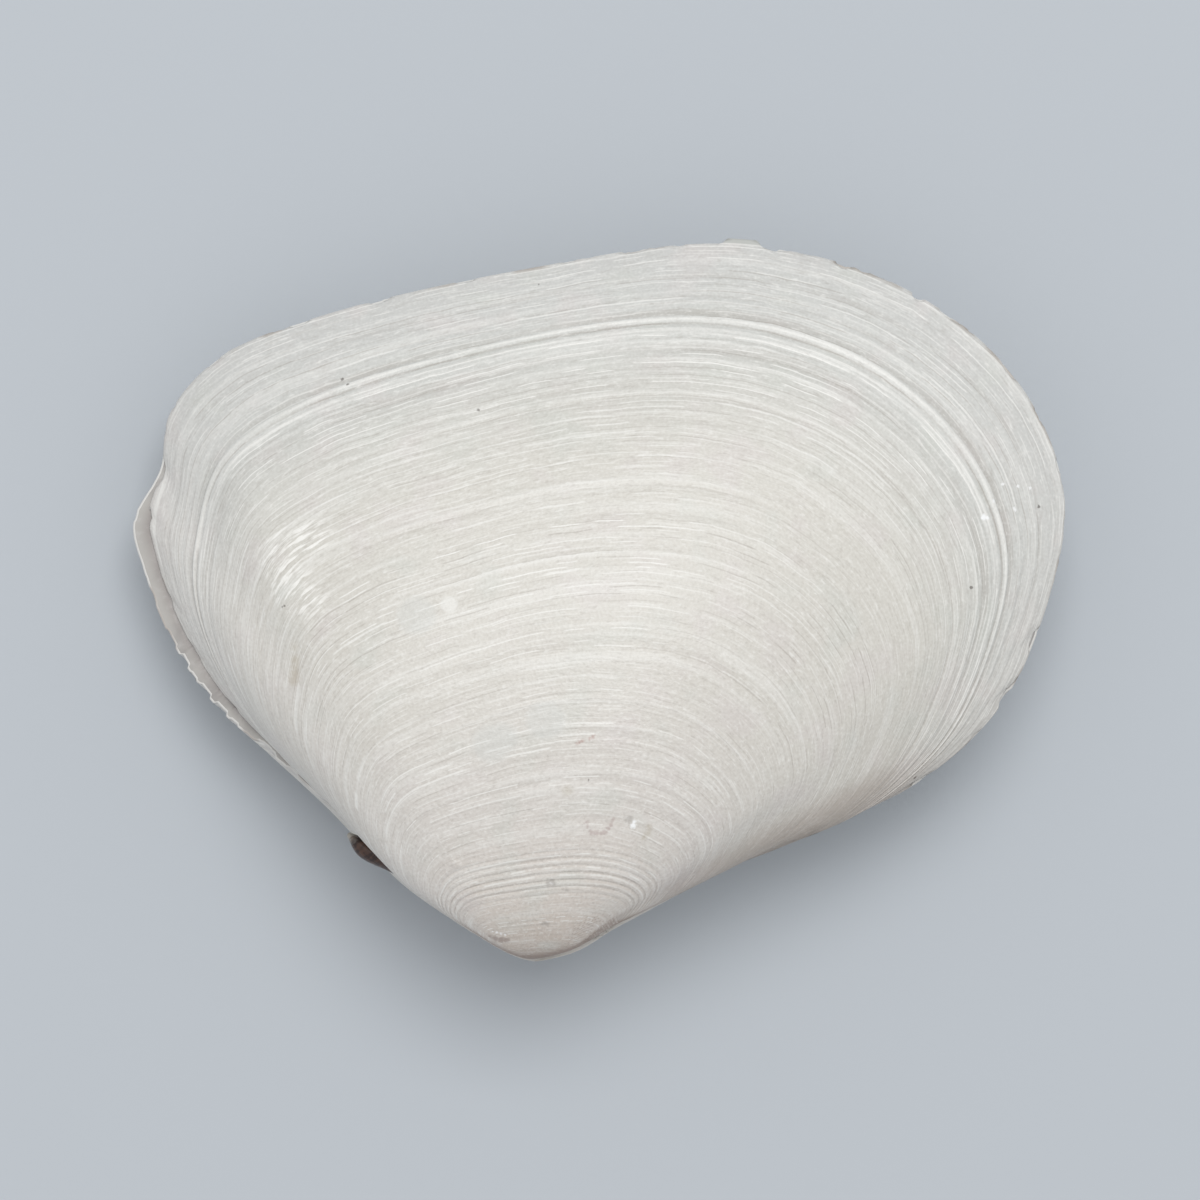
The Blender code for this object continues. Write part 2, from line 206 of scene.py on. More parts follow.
# Broken places on the margin: way round it, depth, which is negative where a lip stands out, half width, and
# how far from its ends each has its full depth.
LEFT_CHIPS = [
    (77.3, -0.36, 1.35, 0.45), (75.0, 0.14, 1.0, 0.9), (70.5, 0.22, 0.7, 0.6), (69.2, 0.1, 0.5, 0.2),
    (65.3, 0.28, 0.5, 0.25), (62.8, 0.12, 0.9, 0.3), (57.6, 0.2, 0.9, 0.7), (54.0, 0.1, 0.6, 0.2),
    (50.6, 0.12, 0.5, 0.25), (39.0, 0.25, 1.0, 0.6), (35.1, 0.3, 1.2, 0.7), (31.6, 0.12, 0.5, 0.25),
    (27.0, 0.2, 0.6, 0.3), (23.9, 0.1, 0.5, 0.3), (84.2, 0.1, 0.9, 0.3), (88.6, 0.08, 0.5, 0.25),
    (95.4, 0.1, 0.7, 0.25), (101.1, 0.15, 0.8, 0.5), (106.6, 0.15, 0.9, 0.6), (112.7, 0.1, 0.6, 0.3),
    (121.0, 0.25, 1.2, 1.0), (123.9, 0.15, 0.42, 0.16), (129.5, 0.06, 0.5, 0.25), (133.3, 0.08, 0.9, 0.3),
    (137.6, 0.1, 0.6, 0.25), (141.8, 0.08, 0.8, 0.3),
]
SMALL_CHIPS = 90
SMALL_CHIP_SEED = 5
SMALL_CHIP_PLACES = (18, 150)
SMALL_CHIP_DEPTHS = (-0.02, 0.07)
SMALL_CHIP_HALF_WIDTHS = (0.15, 0.6)
SMALL_CHIP_CORNER = 0.18
CHIPPED_FROM = (0.94, 0.06)  # the age from which the outside gives way with a chipped margin
BEAK_TO_BELLY = 45  # millimetres in all of age

# Dents (+) and healed lumps (-) on the left valve: way round, age, radius and depth.
DENTS = [
    (85.5, 0.170, 0.40, 0.10), (76.6, 0.250, 0.95, 0.07), (69.4, 0.257, 0.30, -0.05),
    (111.0, 0.226, 0.55, -0.09), (109.0, 0.212, 0.35, 0.06), (100.6, 0.559, 0.45, -0.03),
    (116.2, 0.657, 0.25, 0.05), (84.8, 0.105, 0.35, 0.04),
]

# Painted brown shade, each limit with the length over which it fades: on the steep faces beside the beak,
# which turn from the light, and fainter on a strip of the front flank along the hinge line.
SHADE_STEEPNESS = (0.55, 0.4)
SHADE_BELLY_END = (13, 4)
SHADE_REAR_END = (-7, 4)
SHADE_FRONT_END = (27, 10)
SHADE_FULL_END = (8, 5)
SHADE_PAST_FULL = 0.5
FLANK_SHADE_EDGE = (2.2, 2.2)
FLANK_SHADE_REAR_END = (4, 5)
FLANK_SHADE_FRONT_END = (30, 10)
FLANK_SHADE_STRENGTH = 0.45
HINGE_LINE_SLOPE = 0.52
HINGE_LINE_DROP = 0.9
HINGE_LINE_COSINE = 0.88

BEAK_SHIFT_END = (0.4, 0.3)  # the age up to which a shift of the beak is felt, and its fade

# How the shell lies on its worn spot, and where that puts the beaks.
REST_TIP = math.radians(-4.1)
REST_ROLL = math.radians(-2.0)
BEAKS_AT = Vector((-3.84, -22.41, 10.678))


def smooth(share):
    """The share, held between 0 and 1 and eased at both."""
    share = np.clip(share, 0, 1)
    return share * share * (3 - 2 * share)


def rises(value, start, over):
    """0 up to the start, and 1 from that much over it."""
    return smooth((value - start) / over)


def falls(value, end, over):
    """1 up to that much before the end, and 0 from the end on."""
    return smooth((end - value) / over)


def curve_through(points, steps, closed=False):
    """Centripetal Catmull-Rom curve through the points, with this many steps between each two."""
    held = [np.array(p, float) for p in points]
    if closed:
        held = [held[-1], *held, held[0], held[1]]
    else:
        held = [2 * held[0] - held[1], *held, 2 * held[-1] - held[-2]]
    share = np.arange(steps)[:, None] / steps
    curve = []
    for before, start, end, after in zip(held, held[1:], held[2:], held[3:]):
        knot_1, knot_2, knot_3 = (
            math.sqrt(np.linalg.norm(b - a)) for a, b in ((before, start), (start, end), (end, after))
        )
        leave = (end - start) + knot_2 * ((start - before) / knot_1 - (end - before) / (knot_1 + knot_2))
        arrive = (end - start) + knot_2 * ((after - end) / knot_3 - (after - start) / (knot_2 + knot_3))
        curve.append(
            (2 * share**3 - 3 * share**2 + 1) * start
            + (share**3 - 2 * share**2 + share) * leave
            + (3 * share**2 - 2 * share**3) * end
            + (share**3 - share**2) * arrive
        )
    curve.append(held[-2][None])
    return np.concatenate(curve)


def eased(pairs, at):
    """The value at each place, on a smooth curve through (place, value) pairs."""
    scale = pairs[-1][0] - pairs[0][0]
    curve = curve_through([(place / scale, value) for place, value in pairs], 12)
    return np.interp(np.asarray(at) / scale, curve[:, 0], curve[:, 1])


def spread(density, end, shares):
    """Places from 0 to end for shares from 0 to 1, closer together where the density is higher."""
    places = np.linspace(0, end, 2000)
    filled = np.concatenate([[0.0], np.cumsum(eased(density, (places[1:] + places[:-1]) / 2))])
    return np.interp(np.asarray(shares) * filled[-1], filled, places)


class Margin:
    """The closed margin of a grown valve, by the way round it from the beak in millimetres."""

    def __init__(self, points, rim_width, chips):
        self.rim_width = rim_width
        self.chips = chips
        self.curve = curve_through(points, MARGIN_STEPS, closed=True)
        steps = np.linalg.norm(np.diff(self.curve, axis=0), axis=1)
        self.travelled = np.concatenate([[0.0], np.cumsum(steps)])
        self.length = self.travelled[-1]
        places = np.arange(0, self.length, ROUNDING_STEP)
        near = np.arange(-ROUNDING_STEPS, ROUNDING_STEPS + 1)
        weight = np.exp(-((near * ROUNDING_STEP / REAR_ROUNDING) ** 2) / 2)
        laid = self.at(places)
        picks = (np.arange(len(places))[:, None] + near) % len(places)
        self.rounder = (laid[picks] * weight[:, None]).sum(axis=1) / weight.sum()

    def at(self, way):
        way = np.asarray(way) % self.length
        return np.stack([np.interp(way, self.travelled, self.curve[:, axis]) for axis in (0, 1)], axis=-1)

    def when(self, way, age):
        """The outline of the valve at this age: its rear end was rounder when it was young."""
        outline = self.at(way)
        way = np.asarray(way) % self.length
        places = np.arange(len(self.rounder)) * ROUNDING_STEP
        rounder = np.stack([np.interp(way, places, self.rounder[:, axis]) for axis in (0, 1)], axis=-1)
        share = falls(age, *ROUNDED_AGE_END) * rises(way, *ROUNDED_FROM) * falls(way, *ROUNDED_TO)
        return outline + (rounder - outline) * share[:, None]

    def inside(self, way):
        """The same places moved in by the rim, and near the beak by the hinge plate, and the way in."""
        along = self.at(way + HEADING_STEP) - self.at(way - HEADING_STEP)
        along /= np.linalg.norm(along, axis=-1)[..., None]
        inwards = np.stack([-along[..., 1], along[..., 0]], axis=-1)
        from_beak = np.minimum(way % self.length, self.length - way % self.length)
        plate = falls(from_beak, *HINGE_PLATE_END)
        width = eased(self.rim_width, way % self.length)
        width = width + (HINGE_PLATE_WIDTH - width) * plate
        return self.at(way) + inwards * width[..., None], inwards


def grown(outline, size, curl=CURL, turn=BEAK_TURN, offset=HINGE_OFFSET):
    """Points of the margin when the valve was this share of its full size, on a valve that faces up."""
    least = math.exp(-curl * turn)
    lift = -np.log(least + (1 - least) * size) / curl
    slant = HINGE_SLANT_YOUNG + (HINGE_SLANT_GROWN - HINGE_SLANT_YOUNG) * size
    along = outline[:, 0] * np.cos(slant) + outline[:, 1] * np.sin(slant)
    away = outline[:, 1] * np.cos(slant) - outline[:, 0] * np.sin(slant)
    along = along * size * (1 + YOUNG_WIDTH * (1 - size))
    from_hinge = offset + away * size
    away = from_hinge * np.cos(lift) - offset
    x = along * np.cos(slant) - away * np.sin(slant) + BEAK_DRIFT * (1 - size)
    y = along * np.sin(slant) + away * np.cos(slant)
    return np.stack([x, y, from_hinge * np.sin(lift)], axis=1)


def press(points, line, depth, runs, rise, fall):
    """Press the points beside this line into the shell, or swell them out of it."""
    line = curve_through(line, LINE_STEPS)
    along = np.gradient(line, axis=0)
    along /= np.linalg.norm(along, axis=1)[:, None]
    travelled = np.concatenate([[0.0], np.cumsum(np.linalg.norm(np.diff(line, axis=0), axis=1))])
    low, high = line.min(axis=0) - LINE_REACH, line.max(axis=0) + LINE_REACH
    close = ((points[:, :2] > low) & (points[:, :2] < high)).all(axis=1)
    near = np.flatnonzero(close & (points[:, 2] < fall[1]))
    off = np.linalg.norm(points[near, None, :2] - line, axis=2)
    nearest = off.argmin(axis=1)
    height = points[near, 2]
    share = smooth(travelled[nearest] / runs[0])
    share *= falls(travelled[nearest], travelled[-1], runs[1])
    share *= rises(height, rise[0], rise[1] - rise[0])
    share *= falls(height, fall[1], fall[1] - fall[0])
    share *= falls(off.min(axis=1), LINE_REACH, LINE_FADE)
    inwards = np.stack([along[:, 1], -along[:, 0]], axis=1)[nearest]
    points[near, :2] += inwards * (depth * share)[:, None]


def smooth_outside(margin, way, age):
    """The outside without its lines. Age is 1 at the margin and 0 at the beak, along lines of growth."""
    size = age + eased(BOW, way) * eased(BOW_AT, age)
    points = grown(margin.when(way, age), size)
    for line in PRESSES:
        press(points, *line)
    return points


def bump(share):
    """A rounded hump from -1 to 1, with its top at 0."""
    return smooth(1 - np.abs(share))


def line_relief(way, age, seed):
    """Height of the growth lines over the smooth valve."""
    chance = np.random.default_rng(seed)
    height = np.zeros(len(way))
    for at, rise, half_width, first, last in GROWTH_MARKS:
        near = np.flatnonzero(np.abs(age - at) < half_width)
        started = smooth((way[near] - first) / MARK_FADE + 1)
        strength = MARK_LEAST + (1 - MARK_LEAST) * started * smooth((last - way[near]) / MARK_FADE + 1)
        waver = 1 + MARK_WAVER * np.sin(way[near] / chance.uniform(1.5, 5) + chance.uniform(0, 6))
        weaker = 1 - WEAK_MARKS_LOSS * rises(way[near], WEAK_MARKS_FROM, MARK_FADE)
        height[near] += MARK_RELIEF * rise * bump((age[near] - at) / half_width) * strength * waver * weaker
    for _ in range(FINE_LINES):
        at = chance.uniform(*FINE_LINE_AGES)
        half_width = chance.uniform(*FINE_LINE_HALF_WIDTHS)
        rise = chance.normal(0, FINE_LINE_HEIGHT)
        middle, reach = chance.uniform(*FINE_LINE_MIDDLES), chance.uniform(*FINE_LINE_REACHES)
        drift = chance.uniform(*FINE_LINE_DRIFTS)
        near = np.flatnonzero((np.abs(age - at) < FINE_LINE_WINDOW) & (np.abs(way - middle) < reach))
        off = (age[near] - at - drift * (way[near] - middle)) / half_width
        height[near] += rise * bump(off) * smooth(1.5 * (1 - np.abs(way[near] - middle) / reach))
    started = rises(age, YOUNG_RIDGES_START, YOUNG_RIDGES_FADE)
    young = falls(age, YOUNG_RIDGES_END, YOUNG_RIDGES_FADE)
    young = young * (YOUNG_RIDGES_LEAST + (1 - YOUNG_RIDGES_LEAST) * started)
    across = 0.5 + 0.5 * np.cos(2 * math.pi * age / YOUNG_RIDGE_STEP)
    height += YOUNG_RIDGE_HEIGHT * young * (1 - 2 * across**YOUNG_RIDGE_SHARPNESS)
    return height


def fold_relief(margin, way, age):
    """The rounded ridge and the furrow behind it, from the beak to the rear end."""
    fold = 0
    for place, height in ((REAR_RIDGE_AT, REAR_RIDGE_HEIGHT), (REAR_FURROW_AT, -REAR_FURROW_DEPTH)):
        off = np.linalg.norm(margin.at(way) - np.array(place), axis=1)
        fold = fold + height * np.exp(-((off / REAR_FOLD_WIDTH) ** 2))
    return fold * falls(age, 1, REAR_FOLD_END_FADE) * rises(age, *REAR_FOLD_FROM)


def placed(points, facing):
    """Millimetres in the shell's frame, on a valve that faces up, to metres as the shell lies."""
    points = points * np.array([1, 1, facing])
    reach = np.clip((BEND_FROM_X - points[:, 0]) / BEND_REACH, 0, None)
    points[:, 2] -= BEND_DROP * reach**2
    turn = np.array(Euler((REST_TIP, REST_ROLL, 0.0)).to_matrix())
    points = points @ turn.T + np.array(BEAKS_AT)
    points[:, 2] = np.maximum(points[:, 2], 0)
    return points * MM


def chip(margin, way):
    """How far the margin is broken back, in millimetres."""
    chance = np.random.default_rng(SMALL_CHIP_SEED)
    lost = np.zeros(len(way))
    for at, depth, half_width, corner in margin.chips:
        lost += depth * smooth((half_width - np.abs(way - at)) / corner)
    for _ in range(SMALL_CHIPS):
        at, depth = chance.uniform(*SMALL_CHIP_PLACES), chance.uniform(*SMALL_CHIP_DEPTHS)
        half_width = chance.uniform(*SMALL_CHIP_HALF_WIDTHS)
        lost += depth * smooth((half_width - np.abs(way - at)) / SMALL_CHIP_CORNER)
    return lost


def rim_points(margin, way, step, slope):
    """The rim: the margin's own edge, its rounded corner, and where the flat of the rim ends inside."""
    points = smooth_outside(margin, way, np.ones(len(way))) + np.array([0, 0, EDGE_HEIGHT])
    inner, inwards = margin.inside(way)
    points[:, :2] += inwards * (chip(margin, way) + RIM_INSET[step])[:, None]
    points[:, 2] = RIM_HEIGHT[step]
    last = step == RIM_RINGS[-1]
    points[last, :2] = inner[last]
    points[last, 2] -= eased(slope, way[last])
    return points


def cavity_points(margin, way, age, slope):
    """The inside, grown from the end of the rim's flat by a law of its own that keeps the wall thick."""
    beak = np.array(CAVITY_BEAK)
    inner, _ = margin.inside(way)
    points = grown(inner - beak, age, CAVITY_CURL, CAVITY_TURN, CAVITY_OFFSET)
    points[:, :2] += beak
    points[:, 2] += RIM_HEIGHT[-1] - eased(slope, way) * rises(age, *CAVITY_SLOPE_FROM)
    return points


def margin_edges(shape):
    return [e for e in shape.edges if all(vert.co.y < SHEET_EDGE for vert in e.verts)]


def flat_sheets(shape):
    """The outside's sheet with the rim's rings along one side, and apart from it the cavity's sheet.

    Gives the number of points that aren't the cavity's.
    """
    bmesh.ops.create_grid(shape, x_segments=COLUMNS, y_segments=ROWS, size=0.5)
    shape.faces.layers.int.new("inner")
    cut = [e for e in margin_edges(shape) if abs(e.verts[0].co.x + e.verts[1].co.x) < FINE_RIM_SHARE]
    bmesh.ops.subdivide_edges(shape, edges=cut, cuts=FINE_RIM_CUTS)
    edge = margin_edges(shape)
    inner = shape.faces.layers.int["inner"]
    for step in RIM_RINGS:
        made = bmesh.ops.extrude_edge_only(shape, edges=edge)["geom"]
        ring = [g for g in made if isinstance(g, bmesh.types.BMVert)]
        bmesh.ops.translate(shape, vec=(0, -1, 0), verts=ring)
        edge = [g for g in made if isinstance(g, bmesh.types.BMEdge)]
        for face in (g for g in made if isinstance(g, bmesh.types.BMFace)):
            face[inner] = int(step == RIM_RINGS[-1])
    outside_count = len(shape.verts)
    made = bmesh.ops.create_grid(shape, x_segments=CAVITY_COLUMNS, y_segments=CAVITY_ROWS, size=0.5)
    cavity = made["verts"]
    bmesh.ops.translate(shape, vec=(0, -CAVITY_LAID, 0), verts=cavity)
    for face in {face for vert in cavity for face in vert.link_faces}:
        face[inner] = 1
    return outside_count


def straight_out(margin, way, age):
    """Unit directions straight out of the smooth outside."""
    ahead, behind = (smooth_outside(margin, way + step, age) for step in (WAY_STEP, -WAY_STEP))
    younger = np.maximum(age - AGE_STEP, 0)
    to_beak = smooth_outside(margin, way, younger) - smooth_outside(margin, way, younger + AGE_STEP)
    outwards = np.cross(ahead - behind, to_beak)
    return outwards / np.maximum(np.linalg.norm(outwards, axis=1), 1e-9)[:, None]


def painted_shade_share(surface, outwards):
    """How much painted brown shade the outside has at each point, from 0 to 1."""
    forward = surface[:, 0]
    steep = falls(outwards[:, 2], *SHADE_STEEPNESS) * falls(surface[:, 1], *SHADE_BELLY_END)
    steep *= rises(forward, *SHADE_REAR_END) * falls(forward, *SHADE_FRONT_END)
    steep *= SHADE_PAST_FULL + (1 - SHADE_PAST_FULL) * falls(forward, *SHADE_FULL_END)
    from_hinge = HINGE_LINE_COSINE * (surface[:, 1] - HINGE_LINE_SLOPE * forward + HINGE_LINE_DROP)
    flank = falls(from_hinge, *FLANK_SHADE_EDGE) * rises(forward, *FLANK_SHADE_REAR_END)
    flank *= falls(forward, *FLANK_SHADE_FRONT_END)
    return np.maximum(steep, FLANK_SHADE_STRENGTH * flank)


def object_of(name, shape, *finishes):
    """The finished bmesh as an object at the origin."""
    mesh = bpy.data.meshes.new(name)
    shape.to_mesh(mesh)
    shape.free()
    mesh.shade_smooth()
    for finish in finishes:
        mesh.materials.append(finish)
    made = bpy.data.objects.new(name, mesh)
    bpy.context.scene.collection.objects.link(made)
    return made


def valve(name, margin, facing, seed, slope, beak_shift, finishes):
    """A valve grown from flat sheets: columns round the margin, rows from the margin to the beak.

    Facing is 1 for the upper valve and -1 for the lower one, and the finishes are for outside and inside.
    """
    shape = bmesh.new()
    outside_count = flat_sheets(shape)
    shape.verts.index_update()
    flat = np.array([vert.co for vert in shape.verts])
    row = flat[:, 1] + 0.5
    in_cavity = np.arange(len(flat)) >= outside_count
    rim_step = np.where(in_cavity, 0, np.round(np.maximum(-row, 0))).astype(int)
    laid_way = spread(COLUMN_DENSITY, margin.length, flat[:, 0] + 0.5)
    way = laid_way % margin.length
    from_margin = np.where(in_cavity, row + CAVITY_LAID, np.maximum(row, 0))
    age = 1 - spread([(1 - a, d) for a, d in ROW_DENSITY[::-1]], 1, from_margin)
    age = np.where(in_cavity, CAVITY_MARGIN_AGE * (1 - from_margin), age)

    out = ~in_cavity & (rim_step == 0)
    out_way, out_age = way[out], age[out]
    surface = smooth_outside(margin, out_way, out_age)
    lost = chip(margin, out_way) * rises(out_age, *CHIPPED_FROM)
    surface[:, :2] += margin.inside(out_way)[1] * lost[:, None]
    outwards = straight_out(margin, out_way, out_age)
    out_age = out_age - lost / BEAK_TO_BELLY
    from_beak = rises(np.minimum(out_way, margin.length - out_way), *LINES_FROM)
    lines = line_relief(out_way, out_age, seed) * (LINES_LEAST + (1 - LINES_LEAST) * from_beak)
    lines *= smooth(out_age / LINES_BEAK_FADE)
    lines *= falls(out_age, 1, LINES_MARGIN_FADE)
    height = lines + fold_relief(margin, out_way, out_age)
    if facing > 0:
        for dent_way, dent_age, radius, depth in DENTS:
            centre = smooth_outside(margin, np.array([dent_way]), np.array([dent_age]))
            height -= depth * bump(np.linalg.norm(surface - centre, axis=1) / radius)
    surface += outwards * height[:, None]
    surface[:, 2] += EDGE_HEIGHT
    surface[:, :2] += np.array(beak_shift) * falls(out_age, *BEAK_SHIFT_END)[:, None]
    points = np.zeros((len(flat), 3))
    points[out] = surface
    rim = ~in_cavity & (rim_step > 0)
    points[rim] = rim_points(margin, way[rim], rim_step[rim], slope)
    points[in_cavity] = cavity_points(margin, way[in_cavity], age[in_cavity], slope)

    # The painted shade is stored below 0 on the lower valve, where it makes the beak paler, and is 1 where
    # the flat of the rim ends, for the inside's painted shadow there.
    crests, shade_masks = np.zeros(len(flat)), np.zeros(len(flat))
    crests[out] = lines / MARK_RELIEF
    shade_masks[out] = facing * painted_shade_share(surface, outwards)
    shade_masks[rim & (rim_step == RIM_RINGS[-1])] = 1
    age[out] = out_age
    crest = shape.verts.layers.float.new("crest")
    shade_mask = shape.verts.layers.float.new("shade_mask")
    growth = shape.loops.layers.uv.new("growth")
    for vert, crest_value, shade_value in zip(shape.verts, crests, shade_masks):
        vert[crest] = crest_value
        vert[shade_mask] = shade_value
    for face in shape.faces:
        for loop in face.loops:
            index = loop.vert.index
            loop[growth].uv = (laid_way[index] / 100, age[index])
    for vert, point in zip(shape.verts, placed(points, facing)):
        vert.co = point
    bmesh.ops.remove_doubles(shape, verts=shape.verts, dist=DOUBLES_WITHIN)
    bmesh.ops.bridge_loops(shape, edges=[e for e in shape.edges if e.is_boundary])
    bmesh.ops.recalc_face_normals(shape, faces=shape.faces)
    inner = shape.faces.layers.int["inner"]
    for face in shape.faces:
        face.material_index = face[inner]
    return object_of(name, shape, *finishes)


def add_node(tree, kind, inputs=None, **settings):
    """A shader node of this kind, whose inputs are given sockets or values."""
    made = tree.nodes.new("ShaderNode" + kind)
    for key, value in settings.items():
        setattr(made, key, value)
    for key, given in (inputs or {}).items():
        if isinstance(given, bpy.types.NodeSocket):
            tree.links.new(given, made.inputs[key])
        else:
            made.inputs[key].default_value = given
    return made


def calc(tree, operation, *terms):
    """A Math node on numbers and sockets."""
    return add_node(tree, "Math", dict(enumerate(terms)), operation=operation).outputs[0]


def times(tree, product, *shares):
    """The product of numbers and sockets."""
    for share in shares:
        product = calc(tree, "MULTIPLY", product, share)
    return product


def between(tree, value, low, high):
    """0 where the value is at low or less, and 1 where it is at high or more, without a corner."""
    inputs = {0: value, 1: low, 2: high}
    return add_node(tree, "MapRange", inputs, interpolation_type="SMOOTHSTEP").outputs[0]


def within(tree, value, sides):
    """The shares that the two sides of a stretch leave, for times to multiply."""
    return [between(tree, value, *side) for side in sides]


def noise(tree, vector, scale, offset, detail=2.0, roughness=0.5):
    """Noise about 0.5 whose pattern has these numbers of features per unit of the vector's x, y and z."""
    stretched = add_node(tree, "VectorMath", {0: vector, 1: scale, 2: offset}, operation="MULTIPLY_ADD")
    inputs = {"Vector": stretched.outputs[0], "Scale": 1.0, "Detail": detail, "Roughness": roughness}
    return add_node(tree, "TexNoise", inputs).outputs[0]


def mixed(tree, share, first, second):
    """One colour or the other by a share. A colour is a socket or three numbers."""
    first, second = ((*colour, 1.0) if isinstance(colour, tuple) else colour for colour in (first, second))
    made = add_node(tree, "Mix", {0: share, 6: first, 7: second}, data_type="RGBA", clamp_factor=True)
    return made.outputs[2]


def ramp(tree, value, stops):
    """A colour for each value, by (value, colour) stops."""
    made = add_node(tree, "ValToRGB", {0: value})
    held = made.color_ramp
    held.elements[0].position, held.elements[1].position = stops[0][0], stops[-1][0]
    held.elements[0].color, held.elements[1].color = (*stops[0][1], 1), (*stops[-1][1], 1)
    for place, colour in stops[1:-1]:
        held.elements.new(place).color = (*colour, 1)
    return made.outputs[0]


def distance(tree, place, point):
    made = add_node(tree, "VectorMath", {0: place, 1: tuple(point)}, operation="DISTANCE")
    return made.outputs["Value"]


def roughen(tree, shader, height, relief):
    """Raise and lower the surface by the height times this relief in millimetres, in its shading alone."""
    made = add_node(tree, "Bump", {"Strength": 1.0, "Distance": relief * MM, "Height": height})
    tree.links.new(made.outputs[0], shader.inputs["Normal"])


def new_finish(name):
    """A material with its nodes, its shader and the place of each point in metres."""
    made = bpy.data.materials.new(name)
    made.use_nodes = True
    tree = made.node_tree
    shader = tree.nodes["Principled BSDF"]
    return made, tree, shader, add_node(tree, "TexCoord").outputs["Object"]


# Colours by age: brownish at the beak, warm cream in the middle, cooler towards the margin.
AGE_COLOURS = [
    (0.0, (0.42, 0.34, 0.28)), (0.07, (0.60, 0.52, 0.45)), (0.15, (0.685, 0.625, 0.565)),
    (0.28, (0.665, 0.625, 0.578)), (0.45, (0.65, 0.62, 0.563)), (0.70, (0.655, 0.63, 0.57)),
    (0.80, (0.635, 0.62, 0.57)), (0.87, (0.60, 0.598, 0.562)), (0.95, (0.605, 0.602, 0.572)),
    (1.0, (0.58, 0.575, 0.55)),
]
# The shell's own white and brown lines; the same white and brown also serve for painted highlights on crests
# and at the edge, and for painted shade in grooves and on the front flank.
CHALK_WHITE_AND_HIGHLIGHT = (0.86, 0.845, 0.80)
BROWN_AND_SHADE = (0.36, 0.325, 0.285)
GREEN_GREY = (0.60, 0.61, 0.555)
ROSE_GREY = (0.655, 0.60, 0.575)
SLOPE_GREY = (0.76, 0.715, 0.67)
# Painted whitish sheen for the glossy spots on the rear ridge.
SHEEN_WHITE = (0.95, 0.93, 0.88)
# Painted brown shade for the steep faces beside the beak and the front flank.
PAINTED_SHADE_BROWN = (0.26, 0.175, 0.135)
EDGE_BROWN = (0.30, 0.235, 0.19)
LIP_GREY_AND_SHADE = (0.43, 0.44, 0.41)
LOWER_BEAK_GREY = (0.70, 0.67, 0.62)

# How fine the patterns are: features of noise to a metre, or to 100 mm of the margin and to full size.
SWAY_SCALE = (260, 260, 260)
LINE_SWAY = 0.0078  # of full size, by which the growth lines wander
DASH_SCALE = (95, 210, 1)
BAND_SCALE = (4, 60, 1)
TINT_SCALE = (300, 300, 300)
GRAIN_SCALE = (5600, 5600, 5600)
SHEEN_STREAK_SCALE = (38, 165, 1)

# Threads of growth: how many to full size, half width as a share of it, runs in 100 mm of the margin, seed,
# and the noise above which a run shows.
WIDE_THREADS = (70.0, 0.0019, 14.0, 3.0, 0.52)
THIN_THREADS = (150.0, 0.0011, 26.0, 11.0, 0.47)
DARK_THREADS = (110.0, 0.0012, 16.0, 37.0, 0.47)
SLOPE_THREADS = (38.0, 0.0058, 19.0, 51.0, 0.44)
THREAD_CORE = 0.3  # of a thread's half width, in full colour
THREAD_SPACING = 7.31  # between the noise that two neighbours read
THREAD_FADE = 0.07
THREAD_LEAST = 0.25

# Stretches of the outside, in 100 mm round the margin and in age: each pair is where a side of the stretch
# has nothing and where it is full. On the bare middle of the valve the threads are fainter.
REAR_SLOPE_WAY = ((1.13, 1.26), (1.60, 1.48))
BARE_WAY = ((0.80, 0.73), (0.28, 0.42))
BARE_AGE = ((0.80, 0.72), (0.28, 0.42))
BARE_LOSS = 0.45
# The front flank, which takes a painted brown shade, by way round and by age.
FRONT_FLANK_WAY = (0.50, 0.22)
FRONT_FLANK_AGE = (0.06, 0.25)
YOUNG_AGE = ((YOUNG_RIDGES_START, 0.17), (YOUNG_RIDGES_END, 0.215))
RIM_AGE = (0.9985, 1.0)
OUTSTANDING_LIP_AGE = (1.0005, 1.002)
BROWN_EDGE_AGE = (0.9935, 0.999)

# The glossy spots on the rear ridge, painted with a whitish sheen and less rough: way round, age and radius,
# and what the surface is like. Softness, raggedness and the relief of the chalk are in millimetres.
SHEEN_SPOTS = [(114.5, 0.722, 0.9), (111.3, 0.715, 0.6), (115.0, 0.680, 0.8), (113.9, 0.645, 0.4)]
SHEEN_SOFTNESS = 1.5
MARK_RAGGEDNESS = 0.2
SATIN_ROUGHNESS = 0.40
DASH_ROUGHNESS = 0.14
SHEEN_SPOT_POLISH = 0.12
DASH_RELIEF = 0.60
GRAIN_RELIEF = 0.20
YOUNG_RIDGE_RELIEF = 0.22
CHALK_RELIEF = 0.05

